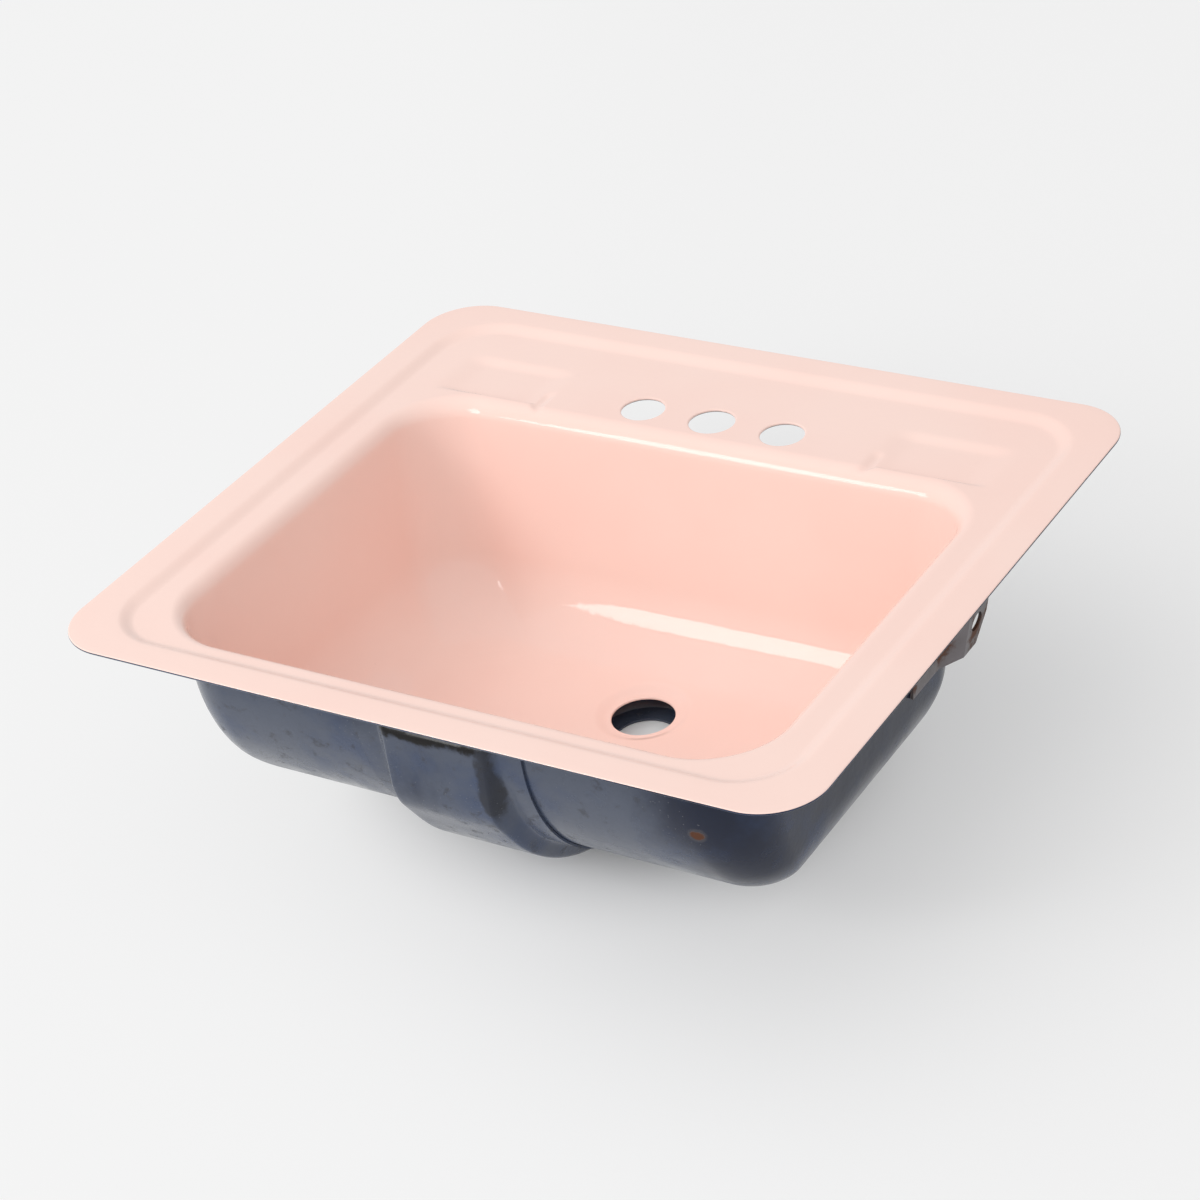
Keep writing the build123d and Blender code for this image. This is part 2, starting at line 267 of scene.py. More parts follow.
def level_cut(bowl, rim, depth, skin):
    """Outlines of the bowl at these depths. Each wall is a drafted line, with a quarter arc for
    the lip above and an arc of 80 degrees for the floor below; skin moves it outwards."""
    deck = rim.step_drop

    def reach(at_rim, draft, floor, lip):
        upper = lip - (skin + rim.sheet)
        fall = depth - (bowl.depth - floor * math.sin(FLOOR_SWEEP))
        rise = deck + lip - depth
        flare = arc_inset(rise, upper)
        return at_rim + skin - draft * depth - arc_inset(fall, floor + skin) + flare, flare

    side, side_flare = reach(bowl.side, bowl.side_draft, bowl.side_floor, bowl.side_lip)
    front, front_flare = reach(bowl.front, 0.0, bowl.front_floor, bowl.front_lip)
    back, back_flare = reach(bowl.back, bowl.back_draft, bowl.back_floor, bowl.back_lip)
    share = depth / bowl.depth
    front_change = bowl.front_corner_floor - bowl.front_corner_top
    back_change = bowl.back_corner_floor - bowl.back_corner_top
    front_corner = bowl.front_corner_top + front_change * share
    back_corner = bowl.back_corner_top + back_change * share
    return Outline(
        side, front, back,
        front_corner + skin + (side_flare + front_flare) / 2,
        back_corner + skin + (side_flare + back_flare) / 2,
        RIM_HEIGHT - depth)


def floor_drop(bowl, inset):
    """Fall of the floor inside its edge: slope times dishing times one minus e to the power of
    minus the distance over the dishing. It starts at 10 degrees and dies away."""
    return FLOOR_SLOPE * bowl.dishing * (1 - np.exp(-np.asarray(inset) / bowl.dishing))


def basin_outlines(rim, bowl):
    """All outlines of the upper skin from the rim's flat band to the middle of the floor. Powers
    of an even row of shares crowd the outlines where the sheet bends."""
    inner = -rim.sheet
    edge = rim.sheet / 2
    band = Outline(
        RIM_HALF_WIDTH - edge, RIM_HALF_LENGTH - edge, RIM_HALF_LENGTH - edge,
        rim.corner - edge, rim.corner - edge, RIM_HEIGHT)
    band_line = RIM_HALF_LENGTH - rim.band_end
    step_top = Outline(
        RIM_HALF_WIDTH - rim.band_side, band_line, band_line,
        rim.step_corner, rim.step_corner, RIM_HEIGHT)
    foot_corner = rim.step_corner - rim.step_side
    step_foot = Outline(
        step_top.side - rim.step_side, step_top.front - rim.step_front,
        step_top.back - rim.step_back, foot_corner, foot_corner, RIM_HEIGHT - rim.step_drop)
    rings = band.towards(step_top, np.linspace(0, 1, 5)[:-1])
    share = np.linspace(0, 1, 14)
    step = step_top.towards(step_foot, share)
    step.height = RIM_HEIGHT - rim.step_drop * smooth(share)
    rings = rings.joined(step)
    depth_lip = rim.step_drop + bowl.back_lip * np.linspace(0, 1, 13) ** 2
    lip = level_cut(bowl, rim, depth_lip, inner)
    ledge_share = 1 - (1 - np.linspace(0, 1, 42)[1:-1]) ** 1.6
    rings = rings.joined(step_foot.towards(lip.at(0), ledge_share)).joined(lip)
    low = bowl.depth + inner
    arc_start = 0.100
    wall = level_cut(bowl, rim, np.linspace(depth_lip[-1], arc_start, 13)[1:], inner)
    arc_depth = low - (low - arc_start) * (1 - np.linspace(0, 1, 27)[1:]) ** 1.8
    rings = rings.joined(wall).joined(level_cut(bowl, rim, arc_depth, inner))
    edge_line = rings.at(-1)
    last_inset = 0.066
    least_corner = 0.003
    inset = last_inset * np.linspace(0, 1, 17)[1:] ** 1.6
    floor = Outline(
        edge_line.side - inset, edge_line.front - inset, edge_line.back - inset,
        np.maximum(edge_line.front_corner - inset, least_corner),
        np.maximum(edge_line.back_corner - inset, least_corner),
        edge_line.height - floor_drop(bowl, inset))
    return rings.joined(floor)


def dish_depth(points, dish, softness):
    """Depth of the soap dishes below the ledge at each point. A dish is three eased steps
    multiplied: from its two ends, from its back line and from its steep front line. Its spout
    is an eased slanting band. The larger of the two counts."""
    across = np.abs(points[..., 0])
    back = points[..., 1]
    from_end = np.minimum(across - dish.near, dish.far - across)
    ends = smooth(from_end / (dish.end_slope * softness))
    rear = smooth((dish.back - back) / (dish.slope * softness))
    front = smooth((back - dish.front) / (dish.front_slope * softness**2))
    lean = dish.spout_slant * np.maximum(dish.front - back, 0)
    near_line = across - (dish.near - lean)
    far_line = dish.near + dish.spout - lean - across
    band = smooth(np.minimum(near_line, far_line) / (dish.spout * 0.5))
    spout_end = 0.090
    spout_fade = 0.010
    reach = smooth((dish.front + dish.end_slope - back) / dish.slope)
    reach = reach * smooth((back - spout_end) / spout_fade)
    return dish.drop * np.maximum(ends * rear * front, dish.spout_share * band * reach)


def with_dishes(points, rim, dish, softness=1.0):
    """The points sunk by the dishes: below the ledge, the fall of the lip and the depth of the
    dish are joined as the cube root of the sum of their cubes."""
    depth = dish_depth(points, dish, softness)
    deck = RIM_HEIGHT - rim.step_drop
    fall = np.maximum(deck - points[..., 2], 0)
    sunk = np.cbrt(fall**3 + depth**3)
    moved = points.copy()
    moved[..., 2] = np.where(depth > 0, deck - sunk, points[..., 2])
    return moved


def ring_normals(points):
    """Unit normals of a closed ring grid: the step along the ring crossed with the step inwards."""
    along = np.roll(points, -1, axis=1) - np.roll(points, 1, axis=1)
    inward = np.gradient(points, axis=0)
    normal = np.cross(along, inward)
    return normal / np.linalg.norm(normal, axis=2, keepdims=True)


class Patchwork:
    """Points and quads of one mesh, gathered from grids that share points."""

    def __init__(self):
        self.points = []
        self.quads = []
        self.count = 0

    def add_points(self, points):
        """Stores points and returns the numbers that they get."""
        flat = points.reshape(-1, 3)
        numbers = np.arange(self.count, self.count + len(flat)).reshape(points.shape[:-1])
        self.points.append(flat)
        self.count += len(flat)
        return numbers

    def add_grid(self, numbers, closed=False, keep=None):
        """Quads between neighbours of a grid of point numbers; keep says which cells stay."""
        if closed:
            numbers = np.concatenate([numbers, numbers[:, :1]], axis=1)
        quads = np.stack(
            [numbers[:-1, :-1], numbers[:-1, 1:], numbers[1:, 1:], numbers[1:, :-1]], -1)
        self.quads.append(quads[keep] if keep is not None else quads.reshape(-1, 4))

    def mesh(self, name, flip=False):
        """The finished mesh with smooth shading. Points that nothing uses are left out."""
        points = np.concatenate(self.points)
        quads = np.concatenate(self.quads)
        if flip:
            quads = quads[:, ::-1]
        used, quads = np.unique(quads, return_inverse=True)
        points = points[used]
        quads = quads.reshape(-1, 4)
        mesh = bpy.data.meshes.new(name)
        mesh.vertices.add(len(points))
        mesh.vertices.foreach_set("co", points.astype(np.float32).ravel())
        mesh.loops.add(quads.size)
        mesh.loops.foreach_set("vertex_index", quads.astype(np.int32).ravel())
        mesh.polygons.add(len(quads))
        mesh.polygons.foreach_set("loop_start", np.arange(0, quads.size, 4, dtype=np.int32))
        mesh.update(calc_edges=True)
        mesh.validate()
        mesh.shade_smooth()
        mesh.set_sharp_from_angle(angle=math.radians(40))
        return mesh


def place(mesh, *materials):
    """Makes a mesh an object of the scene that rides on the basin."""
    for material in materials:
        mesh.materials.append(material)
    made = bpy.data.objects.new(mesh.name, mesh)
    bpy.context.scene.collection.objects.link(made)
    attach(made, "root")
    return made


def hole_block(points, centre, reach, rings, order=(0, 1, 2)):
    """First and last ring and point of the block of cells that covers a round area. The order
    names the two axes of the hole's plane first; a hole in a wall lies in the front one."""
    near = np.hypot(points[..., order[0]] - centre[0], points[..., order[1]] - centre[1]) < reach
    near &= (order[1] == 1) | (points[..., 1] < 0)
    near[:rings[0]] = False
    near[rings[1] + 1:] = False
    hit_rings = np.flatnonzero(near.any(axis=1))
    hit_points = np.flatnonzero(near.any(axis=0))
    return (
        max(hit_rings[0] - 1, rings[0]), min(hit_rings[-1] + 1, rings[1]),
        hit_points[0] - 1, hit_points[-1] + 1)


def block_loop(numbers, block):
    """Point numbers around a block, in ring order."""
    first, last, start, end = block
    return np.concatenate([
        numbers[first, start:end], numbers[first:last, end],
        numbers[last, end:start:-1], numbers[last:first:-1, start]])


def hole_rings(loop_points, centre, radii, shares, heights, order=(0, 1, 2)):
    """Rings between a block's edge and a round hole. Each point keeps its direction from the
    hole's middle; its distance goes from the block's edge to the ring's radius by the share.
    Heights is a function of the plan and of the ring's radius."""
    offset = loop_points[:, order[:2]] - np.asarray(centre)
    distance = np.linalg.norm(offset, axis=1)
    direction = offset / distance[:, None]
    rings = []
    for radius, share in zip(radii, shares):
        plan = np.asarray(centre) + direction * (radius + (distance - radius) * share)[:, None]
        rings.append(np.column_stack([plan, heights(plan, radius if share == 0 else None)]))
    return np.stack(rings)[..., np.argsort(order)]


def edge_arc(radius, thickness, last):
    """Radii and sinks of a half-round hole edge, from straight up to an angle in degrees. With
    half the sheet as r, they are the radius plus r minus r sin a, and r minus r cos a."""
    angle = np.radians(np.linspace(0, last, EDGE_STEPS))
    half = thickness / 2
    return radius + half - half * np.sin(angle), half - half * np.cos(angle)


def back_floor_height(bowl, rim, skin):
    """Function that gives the height of the floor and of the back arc, from its place in Y."""
    depth = np.linspace(0.05, bowl.depth + skin, 400)
    back = level_cut(bowl, rim, depth, skin).back
    edge = back[-1]

    def height(y):
        on_arc = RIM_HEIGHT - np.interp(-y, -back, depth)
        on_floor = RIM_HEIGHT - bowl.depth - skin - floor_drop(bowl, np.maximum(edge - y, 0))
        return np.where(y > edge, on_arc, on_floor)

    return height


def cut_hole(patch, points, numbers, keep, centre, radius, rings, edge, level, order=(0, 1, 2)):
    """Cuts one round hole into a skin and rounds its edge. Edge holds the sheet's thickness and
    the last angle of the rounding. Level gives the third coordinate from the first two and from
    how far the edge has sunk."""
    block = hole_block(points, centre, radius + edge[0] / 2, rings, order)
    keep[block[0]:block[1], block[2]:block[3]] = False
    loop = block_loop(numbers, block)
    loop_points = points.reshape(-1, 3)[loop]
    radii, sinks = edge_arc(radius, edge[0], edge[1])
    flat = hole_rings(
        loop_points, centre, [radii[0]] * 4, np.linspace(1, 0, 5)[1:],
        lambda plan, at: level(plan, 0.0), order)
    rounded = [hole_rings(
        loop_points, centre, [r], [0], lambda plan, at, s=s: level(plan, s), order)
        for r, s in zip(radii[1:], sinks[1:])]
    cut = np.concatenate([flat] + rounded)
    patch.add_grid(np.concatenate([loop[None], patch.add_points(cut)]), closed=True)


def punch_holes(patch, points, numbers, keep, rim, bowl, upper):
    """Cuts the tap holes, the overflow holes and the outlet into one skin and rounds their edges
    until the two skins meet inside the sheet."""
    sheet = rim.sheet
    sign = 1 if upper else -1
    last_angle = 110 if upper else 70
    edge = (sheet, last_angle)
    deck = points[LEDGE_RING, 0, 2]
    deck_rings = np.flatnonzero(np.isclose(points[:, 0, 2], deck, atol=1e-6))[[0, -1]]
    taps = [(-rim.tap_pitch, rim.tap_radius), (0.0, rim.middle_radius),
            (rim.tap_pitch, rim.tap_radius)]
    for across, radius in taps:
        cut_hole(
            patch, points, numbers, keep, (across, rim.tap_row), radius, deck_rings, edge,
            lambda plan, sink: np.full(len(plan), deck - sign * sink))
    skin = -sheet if upper else 0.0
    bowl_rings = (BOWL_RING, len(points) - 1)

    def front_wall(plan, sink):
        """Y of the front wall at a height, moved into the sheet as the hole's edge rounds."""
        return -level_cut(bowl, rim, RIM_HEIGHT - plan[:, 1], skin).front - sign * sink

    for across in (-bowl.inlet_pitch, 0.0, bowl.inlet_pitch):
        cut_hole(
            patch, points, numbers, keep, (across, RIM_HEIGHT - bowl.inlet_depth),
            bowl.inlet_radius, bowl_rings, edge, front_wall, (0, 2, 1))
    centre = (0.0, bowl.drain_back)
    margin = 0.0015
    block = hole_block(points, centre, bowl.seat_rim + margin, bowl_rings)
    keep[block[0]:block[1], block[2]:block[3]] = False
    loop = block_loop(numbers, block)
    loop_points = points.reshape(-1, 3)[loop]
    around = back_floor_height(bowl, rim, skin)
    seat = RIM_HEIGHT - bowl.seat_depth - (0 if upper else sheet)
    shares = list(np.linspace(1, 0, 7)[1:]) + [0] * 9
    radii = [bowl.seat_rim] * 6 + list(np.linspace(bowl.seat_rim, bowl.seat_flat, 10)[1:])

    def seat_height(plan, radius):
        """The floor's height, eased down to the seat's between the two radii of its slope."""
        base = around(plan[:, 1])
        if radius is None:
            return base
        share = (bowl.seat_rim - radius) / (bowl.seat_rim - bowl.seat_flat)
        return base + (seat - base) * smooth(share)

    flat = hole_rings(loop_points, centre, radii, shares, seat_height)
    edge_radii, sinks = edge_arc(bowl.drain_radius, sheet, last_angle)
    level = [hole_rings(
        loop_points, centre, [r], [0], lambda plan, at: np.full(len(plan), seat))
        for r in np.linspace(bowl.seat_flat, edge_radii[0], 4)[1:]]
    rounded = [hole_rings(
        loop_points, centre, [r], [0], lambda plan, at, s=s: np.full(len(plan), seat - sign * s))
        for r, s in zip(edge_radii[1:], sinks[1:])]
    rings = np.concatenate([flat] + level + rounded)
    patch.add_grid(np.concatenate([loop[None], patch.add_points(rings)]), closed=True)


def rim_edge(rim, first, last, steps):
    """Outlines of the rim's half-round edge between two angles in degrees from straight up."""
    angle = np.radians(np.linspace(first, last, steps))
    half = rim.sheet / 2
    inset = half - half * np.sin(angle)
    return Outline(
        RIM_HALF_WIDTH - inset, RIM_HALF_LENGTH - inset, RIM_HALF_LENGTH - inset,
        rim.corner - inset, rim.corner - inset, RIM_HEIGHT - half + half * np.cos(angle))


def close_middle(patch, numbers, points):
    """Closes the last ring with a fan of quads, each from the middle to three neighbours."""
    ring = numbers[-1]
    middle = patch.add_points(points[-1].mean(axis=0)[None])
    fan = [np.broadcast_to(middle, len(ring) // 2),
           ring[0::2], ring[1::2], np.roll(ring, -2)[0::2]]
    patch.quads.append(np.stack(fan, -1))


def pan_skin(rim, bowl, dish, upper):
    """One side of the pan: ring outlines, sunk by the dishes, with holes and a rolled edge. The
    underside has softer dishes, and is moved by the sheet's thickness against its normals."""
    patch = Patchwork()
    rings = ring_points(basin_outlines(rim, bowl))
    if upper:
        base = with_dishes(rings, rim, dish)
        edge = ring_points(rim_edge(rim, 60, 0, 6))
    else:
        base = with_dishes(rings, rim, dish, softness=1.6)
        base = base - rim.sheet * ring_normals(base)
        edge = ring_points(rim_edge(rim, 60, 180, 10))
    points = np.concatenate([edge[:-1], base])
    numbers = patch.add_points(points)
    keep = np.ones((len(points) - 1, points.shape[1]), bool)
    punch_holes(patch, points, numbers, keep, rim, bowl, upper)
    patch.add_grid(numbers, closed=True, keep=keep)
    close_middle(patch, numbers, points)
    return patch.mesh("basin_enamel" if upper else "basin_ground_coat", flip=not upper)


def casing_face_line(casing, bowl):
    """Side view of the casing's face, as close points in Y and Z: a straight drop, an arc of
    35 degrees, a straight slope, and an arc that runs out level at the floor."""
    angle = CASING_SLOPE
    reach = casing.face_reach
    bend = casing.bend_radius
    start = np.array([-reach, RIM_HEIGHT - casing.bend_start])
    turn = np.linspace(0, angle, 40)
    first = start + np.stack([bend * (1 - np.cos(turn)), -bend * np.sin(turn)], -1)
    foot = first[-1] + casing.slope_run * np.array([math.sin(angle), -math.cos(angle)])
    sweep = foot[1] / (1 - math.sin(angle))
    turn = np.linspace(angle, math.pi / 2, 80)
    centre = foot + sweep * np.array([math.cos(angle), math.sin(angle)])
    second = centre - sweep * np.stack([np.cos(turn), np.sin(turn)], -1)
    top = np.array([[-reach, RIM_HEIGHT]])
    end = np.array([[bowl.drain_back + casing.half_flange, 0.0]])
    return np.concatenate([top, first, second, end])


def keel_line(rim, bowl):
    """The keel: side view of the bowl's underside in the middle, as close points in Y and Z from
    the top of the front wall to the outlet. They crowd towards the foot of the wall."""
    top = 0.012
    depth = bowl.depth - (bowl.depth - top) * (1 - np.linspace(0, 1, KEEL_WALL)) ** 1.5
    wall = np.stack([-level_cut(bowl, rim, depth, 0.0).front, RIM_HEIGHT - depth], -1)
    floor_y = np.linspace(wall[-1, 0], bowl.drain_back, KEEL_FLOOR)[1:]
    drop = floor_drop(bowl, floor_y - wall[-1, 0])
    floor = np.stack([floor_y, RIM_HEIGHT - bowl.depth - drop], -1)
    return np.concatenate([wall, floor])


def distance_along(points, normals, line):
    """Distance from each point along its normal to a line of short segments: the nearest
    crossing of point plus t times normal with segment start plus u times segment."""
    start = line[None, :-1]
    run = (line[1:] - line[:-1])[None]
    gap = start - points[:, None]
    normal = normals[:, None]
    cross = normal[..., 0] * run[..., 1] - normal[..., 1] * run[..., 0]
    cross = np.where(np.abs(cross) < 1e-12, 1e-12, cross)
    t = (gap[..., 0] * run[..., 1] - gap[..., 1] * run[..., 0]) / cross
    u = (gap[..., 0] * normal[..., 1] - gap[..., 1] * normal[..., 0]) / cross
    good = (t > 0) & (u >= -1e-6) & (u <= 1 + 1e-6)
    return np.where(good, t, np.inf).min(axis=1)


def casing_skin(casing, rim, bowl, inner):
    """One side of the casing. In section it is a flange, an S-shaped flank and a flat face; the
    section follows the keel and turns round the outlet. Returns a patchwork and its rim loops."""
    keel = keel_line(rim, bowl)
    step = np.linalg.norm(np.diff(keel, axis=0), axis=1)
    run = np.concatenate([[0], np.cumsum(step)])
    start = np.interp(-(RIM_HEIGHT - casing.top), -keel[:KEEL_WALL, 1], run[:KEEL_WALL])
    s_rows = np.linspace(start, run[-1], 110)
    share = (s_rows - start) / (run[-1] - start)

    def on_keel(s):
        """Point of the keel at this distance along it."""
        return np.stack([np.interp(s, run, keel[:, 0]), np.interp(s, run, keel[:, 1])], -1)

    def at(s):
        """Point of the keel and its normal there, square to the chord from 1 mm behind the
        point to 1 mm ahead of it."""
        tangent = on_keel(s + 0.001) - on_keel(s - 0.001)
        tangent /= np.linalg.norm(tangent, axis=-1, keepdims=True)
        return on_keel(s), np.stack([tangent[..., 1], -tangent[..., 0]], -1)

    face = casing_face_line(casing, bowl)
    base, normal = at(run)
    proud = distance_along(base, normal, face)
    flat = casing.gap + (0 if inner else casing.sheet)
    lift = casing.sheet if inner else 0.0
    raised_behind = -0.150
    patch = Patchwork()

    def sunk(s, across_share):
        """Height over the bowl: the flange's own height, eased up to the face's height. From a
        place under the floor on, it has that whole height."""
        depth = RIM_HEIGHT - np.interp(s, run, keel[:, 1])
        rise = smooth((depth - casing.rise_start) / (casing.rise_end - casing.rise_start))
        rise = np.where(np.interp(s, run, keel[:, 0]) > raised_behind, 1.0, rise)
        return flat + (np.interp(s, run, proud) - lift - flat) * rise * across_share

    def flank(width):
        """Share of the face's height: 1 on the face, eased down to 0 on the flange."""
        narrow = lift * 0.5
        run_out = casing.half_root - casing.half_face
        return 1 - smooth((width - casing.half_face + narrow) / run_out)

    def leg(s, across):
        """Points of the straight part, this far along the keel and to the side."""
        middle, outward = at(s)
        out = middle + outward * sunk(s, flank(np.abs(across)))[..., None]
        return np.stack([across, out[..., 0], out[..., 1]], -1)

    widths = np.concatenate([
        np.linspace(casing.hole_radius, casing.half_face, 6)[:-1],
        np.linspace(casing.half_face, casing.half_root, 13)[:-1],
        np.linspace(casing.half_root, casing.half_flange, 5)])
    down = leg(np.broadcast_to(s_rows, (len(widths), len(s_rows))),
               np.broadcast_to(-widths[:, None], (len(widths), len(s_rows))))
    up = down[:, ::-1] * np.array([-1, 1, 1])
    angle = np.linspace(0, math.pi, CASING_TURN_STEPS)[1:-1]
    x = -widths[:, None] * np.cos(angle)
    y = bowl.drain_back + widths[:, None] * np.sin(angle)
    under = back_floor_height(bowl, rim, 0.0)(y) - flat
    z = under + (lift - under) * flank(widths)[:, None]
    turn = np.stack([x, y, z], -1)
    points = np.concatenate([down, turn, up], axis=1)
    numbers = patch.add_points(points)
    patch.add_grid(numbers)
    across = np.linspace(-casing.hole_radius, casing.hole_radius, 17)
    hole_front = bowl.drain_back - np.sqrt(np.maximum(casing.hole_radius**2 - across**2, 0))
    end = np.interp(hole_front, keel[KEEL_WALL:, 0], run[KEEL_WALL:])
    s = start + (end[:, None] - start) * share[None]
    middle = leg(s, np.broadcast_to(across[:, None], s.shape))
    inner_numbers = patch.add_points(middle[1:-1])
    rows = len(s_rows)
    left = numbers[0, :rows]
    right = numbers[0, ::-1][:rows]
    patch.add_grid(np.concatenate([left[None], inner_numbers, right[None]])[::-1])
    outer_loop = np.concatenate(
        [numbers[::-1, 0], inner_numbers[:, 0], numbers[:, -1], numbers[-1, ::-1][1:-1]])
    hole_loop = np.concatenate(
        [numbers[0, rows - 1:rows + CASING_TURN_STEPS - 1], inner_numbers[::-1, -1]])
    return patch, outer_loop, hole_loop


def casing_mesh(casing, rim, bowl):
    """The casing: its two sides, joined round the flange and round the hole."""
    outside, outer_loop, hole_loop = casing_skin(casing, rim, bowl, inner=False)
    inside, inner_outer, inner_hole = casing_skin(casing, rim, bowl, inner=True)
    whole = Patchwork()
    whole.add_points(np.concatenate(outside.points))
    shift = whole.count
    whole.add_points(np.concatenate(inside.points))
    whole.quads = [np.concatenate(outside.quads), np.concatenate(inside.quads)[:, ::-1] + shift]
    whole.add_grid(np.stack([inner_outer + shift, outer_loop]), closed=True)
    whole.add_grid(np.stack([hole_loop, inner_hole + shift]), closed=True)
    return whole.mesh("casing_ground_coat")


def new_group(name, inputs, outputs):
    """An empty shader node group with number or vector sockets, and its two end nodes."""
    group = bpy.data.node_groups.new(name, "ShaderNodeTree")
    for label, kind, default in inputs:
        socket = group.interface.new_socket(label, in_out="INPUT", socket_type=kind)
        socket.default_value = default
    for label, kind in outputs:
        group.interface.new_socket(label, in_out="OUTPUT", socket_type=kind)
    return group, group.nodes.new("NodeGroupInput"), group.nodes.new("NodeGroupOutput")


def node(tree, kind, **settings):
    """A node with its plain attributes set."""
    made = tree.nodes.new(kind)
    for key, value in settings.items():
        setattr(made, key, value)
    return made


def noise(tree, vector, scale, detail=3.0, roughness=0.5, distortion=0.0):
    """A noise texture on these coordinates; its scale is a number or a socket."""
    made = node(tree, "ShaderNodeTexNoise")
    tree.links.new(vector, made.inputs["Vector"])
    if isinstance(scale, (int, float)):
        made.inputs["Scale"].default_value = scale
    else:
        tree.links.new(scale, made.inputs["Scale"])
    made.inputs["Detail"].default_value = detail
    made.inputs["Roughness"].default_value = roughness
    made.inputs["Distortion"].default_value = distortion
    return made.outputs["Fac"]


def spread(tree, value, low, high, to_low=0.0, to_high=1.0):
    """Maps a value from one range to another, eased, and holds it at the ends."""
    made = node(tree, "ShaderNodeMapRange", interpolation_type="SMOOTHSTEP")
    tree.links.new(value, made.inputs["Value"])
    made.inputs["From Min"].default_value = low
    made.inputs["From Max"].default_value = high
    made.inputs["To Min"].default_value = to_low
    made.inputs["To Max"].default_value = to_high
    return made.outputs["Result"]


def maths(tree, operation, first, second):
    """A maths node on sockets or numbers."""
    made = node(tree, "ShaderNodeMath", operation=operation)
    for socket, value in zip(made.inputs, (first, second)):
        if isinstance(value, (int, float)):
            socket.default_value = value
        else:
            tree.links.new(value, socket)
    return made.outputs[0]


def blend(tree, share, first, second):
    """Mixes two colours, given as sockets or values, by a share."""
    made = node(tree, "ShaderNodeMix", data_type="RGBA")
    tree.links.new(share, made.inputs["Factor"])
    for socket, value in ((made.inputs[6], first), (made.inputs[7], second)):
        if hasattr(value, "links"):
            tree.links.new(value, socket)
        else:
            socket.default_value = (*value, 1.0)
    return made.outputs[2]


def coat_waves_group():
    """Ripple of a fired coat: wide waves plus fine orange peel, as a height."""
    group, start, end = new_group(
        "Coat waves",
        [("Vector", "NodeSocketVector", (0, 0, 0)), ("Wave scale", "NodeSocketFloat", 14.0),
         ("Peel scale", "NodeSocketFloat", 260.0), ("Peel share", "NodeSocketFloat", 0.1)],
        [("Height", "NodeSocketFloat")])
    wave = noise(group, start.outputs["Vector"], start.outputs["Wave scale"], detail=1.0)
    peel = noise(group, start.outputs["Vector"], start.outputs["Peel scale"], detail=2.0)
    peel = maths(group, "MULTIPLY", peel, start.outputs["Peel share"])
    group.links.new(maths(group, "ADD", wave, peel), end.inputs["Height"])
    return group


def specks_group():
    """Small spots: cells of a Voronoi pattern under a size, thinned out by a wide noise."""
    group, start, end = new_group(
        "Specks",
        [("Vector", "NodeSocketVector", (0, 0, 0)), ("Scale", "NodeSocketFloat", 90.0),
         ("Size", "NodeSocketFloat", 0.12), ("Amount", "NodeSocketFloat", 0.5)],
        [("Mask", "NodeSocketFloat")])
    cells = node(group, "ShaderNodeTexVoronoi")
    group.links.new(start.outputs["Vector"], cells.inputs["Vector"])
    group.links.new(start.outputs["Scale"], cells.inputs["Scale"])
    edge = maths(group, "SUBTRACT", start.outputs["Size"], cells.outputs["Distance"])
    spot = spread(group, edge, 0.0, 0.04)
    where = noise(group, start.outputs["Vector"], 9.0, detail=2.0)
    where = maths(group, "LESS_THAN", where, start.outputs["Amount"])
    group.links.new(maths(group, "MULTIPLY", spot, where), end.inputs["Mask"])
    return group


def stain_group():
    """One stain: distance from a middle, measured in radii along each axis and roughened by
    noise; the mask fades out between 0.7 and 1.1 radii."""
    group, start, end = new_group(
        "Stain",
        [("Vector", "NodeSocketVector", (0, 0, 0)), ("Middle", "NodeSocketVector", (0, 0, 0)),
         ("Radius", "NodeSocketVector", (0.01, 0.01, 0.01)), ("Grain", "NodeSocketFloat", 200.0),
         ("Ragged", "NodeSocketFloat", 0.8)],
        [("Mask", "NodeSocketFloat")])
    offset = node(group, "ShaderNodeVectorMath", operation="SUBTRACT")
    group.links.new(start.outputs["Vector"], offset.inputs[0])
    group.links.new(start.outputs["Middle"], offset.inputs[1])
    scaled = node(group, "ShaderNodeVectorMath", operation="DIVIDE")
    group.links.new(offset.outputs["Vector"], scaled.inputs[0])
    group.links.new(start.outputs["Radius"], scaled.inputs[1])
    far = node(group, "ShaderNodeVectorMath", operation="LENGTH")
    group.links.new(scaled.outputs["Vector"], far.inputs[0])
    grain = noise(group, start.outputs["Vector"], start.outputs["Grain"], detail=4.0, roughness=0.6)
    grain = maths(group, "MULTIPLY", maths(group, "SUBTRACT", grain, 0.5), start.outputs["Ragged"])
    distance = maths(group, "ADD", far.outputs["Value"], grain)
    group.links.new(spread(group, distance, 1.1, 0.7), end.inputs["Mask"])
    return group


def group_node(tree, group, vector, **values):
    """Places a group in a tree, on these coordinates and with these values."""
    made = node(tree, "ShaderNodeGroup", node_tree=group)
    tree.links.new(vector, made.inputs["Vector"])
    for key, value in values.items():
        made.inputs[key.replace("_", " ").capitalize()].default_value = value
    return made


def new_material(name):
    """A material with its Principled shader and Object coordinates."""
    material = bpy.data.materials.new(name)
    material.use_nodes = True
    tree = material.node_tree
    shader = tree.nodes["Principled BSDF"]
    coordinates = node(tree, "ShaderNodeTexCoord").outputs["Object"]
    return material, tree, shader, coordinates


def add_bump(tree, shader, height, strength, distance):
    """Feeds a height to the shader's normal."""
    bump = node(tree, "ShaderNodeBump")
    bump.inputs["Strength"].default_value = strength
    bump.inputs["Distance"].default_value = distance
    tree.links.new(height, bump.inputs["Height"])
    tree.links.new(bump.outputs["Normal"], shader.inputs["Normal"])


